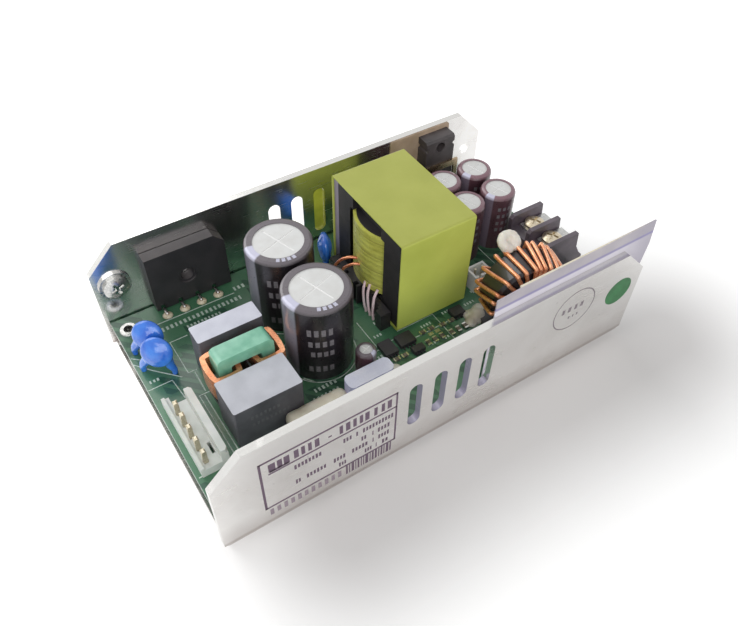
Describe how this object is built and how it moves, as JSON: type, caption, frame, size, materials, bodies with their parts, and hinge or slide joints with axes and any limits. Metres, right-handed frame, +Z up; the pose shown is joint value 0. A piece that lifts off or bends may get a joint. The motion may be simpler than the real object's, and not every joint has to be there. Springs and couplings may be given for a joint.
{
  "type": "open frame power supply",
  "caption": "Open frame switching power supply: folded U bracket with slotted walls, one component board, taped transformer, screw terminals and a pin header.",
  "frame": {"origin": "centre of the rectangle of base fixing holes, on the bracket's underside", "axes": "+X along the bracket from the AC inlet to the DC terminals, +Y from the label wall to the heatsink wall, +Z up through the board"},
  "size_m": [0.129, 0.074, 0.0437],
  "materials": {
    "bracket_aluminium": "satin",
    "insulator_sheet": "matt",
    "circuit_board": "gloss",
    "plated_steel": "satin",
    "milky_film": "satin",
    "white_nylon": "satin",
    "tinned_pin": "satin",
    "cream_ceramic": "satin",
    "grey_box": "satin",
    "lilac_box": "satin",
    "tinned_lead": "satin",
    "mint_ferrite": "satin",
    "copper_wire": "polished",
    "black_plastic": "satin",
    "blue_coating": "gloss",
    "black_epoxy": "matt",
    "can_aluminium": "satin",
    "dark_sleeve": "gloss",
    "plum_sleeve": "gloss",
    "ferrite": "matt",
    "yellow_tape": "satin",
    "lead_wires": "satin",
    "tan_pad": "matt",
    "tan_metal": "satin",
    "ring_black": "satin",
    "silicone": "satin",
    "screw_brass": "polished",
    "chip_black": "matt",
    "chip_tan": "satin"
  },
  "bodies": {
    "root": {"bracket": "bracket_aluminium", "base_insulator": "insulator_sheet", "board": "circuit_board", "board_spacers": "plated_steel", "base_screws": "plated_steel", "wall_film": "milky_film", "earth_screw": "plated_steel", "inlet_header": "white_nylon", "inlet_pins": "tinned_pin", "fuse_tube": "cream_ceramic", "fuse_caps": "plated_steel", "x_cap_rear": "grey_box", "x_cap_front": "grey_box", "x_cap_leads": "tinned_lead", "line_choke_core": "mint_ferrite", "line_choke_coil_line": "copper_wire", "line_choke_coil_neutral": "copper_wire", "line_choke_base": "black_plastic", "y_cap_line": "blue_coating", "y_cap_neutral": "blue_coating", "y_cap_bridge": "blue_coating", "bridge_rectifier": "black_epoxy", "bridge_leads": "tinned_lead", "bulk_can_rear": "can_aluminium", "bulk_sleeve_rear": "dark_sleeve", "bulk_can_front": "can_aluminium", "bulk_sleeve_front": "dark_sleeve", "bulk_leads": "tinned_lead", "supply_can": "can_aluminium", "supply_sleeve": "plum_sleeve", "snubber_cap": "lilac_box", "core_upper": "ferrite", "core_lower": "ferrite", "transformer_bobbin": "black_plastic", "transformer_winding": "yellow_tape", "transformer_tape": "yellow_tape", "transformer_pins": "tinned_lead", "primary_leads": "lead_wires", "rectifier_pad": "tan_pad", "output_rectifier": "black_epoxy", "rectifier_leads": "tinned_lead", "rectifier_staple": "tan_metal", "output_cans": "can_aluminium", "output_sleeve_1": "plum_sleeve", "output_sleeve_2": "plum_sleeve", "output_sleeve_3": "plum_sleeve", "output_sleeve_4": "plum_sleeve", "output_leads": "tinned_lead", "ring_core": "ring_black", "ring_winding": "copper_wire", "ring_base": "black_plastic", "ring_adhesive": "silicone", "board_adhesive": "silicone", "terminal_body": "black_plastic", "terminal_clamps": "plated_steel", "terminal_screws": "screw_brass", "remote_header": "white_nylon", "remote_pins": "tinned_pin", "control_chips": "chip_black", "chip_parts": "chip_tan"}
  },
  "joints": []
}
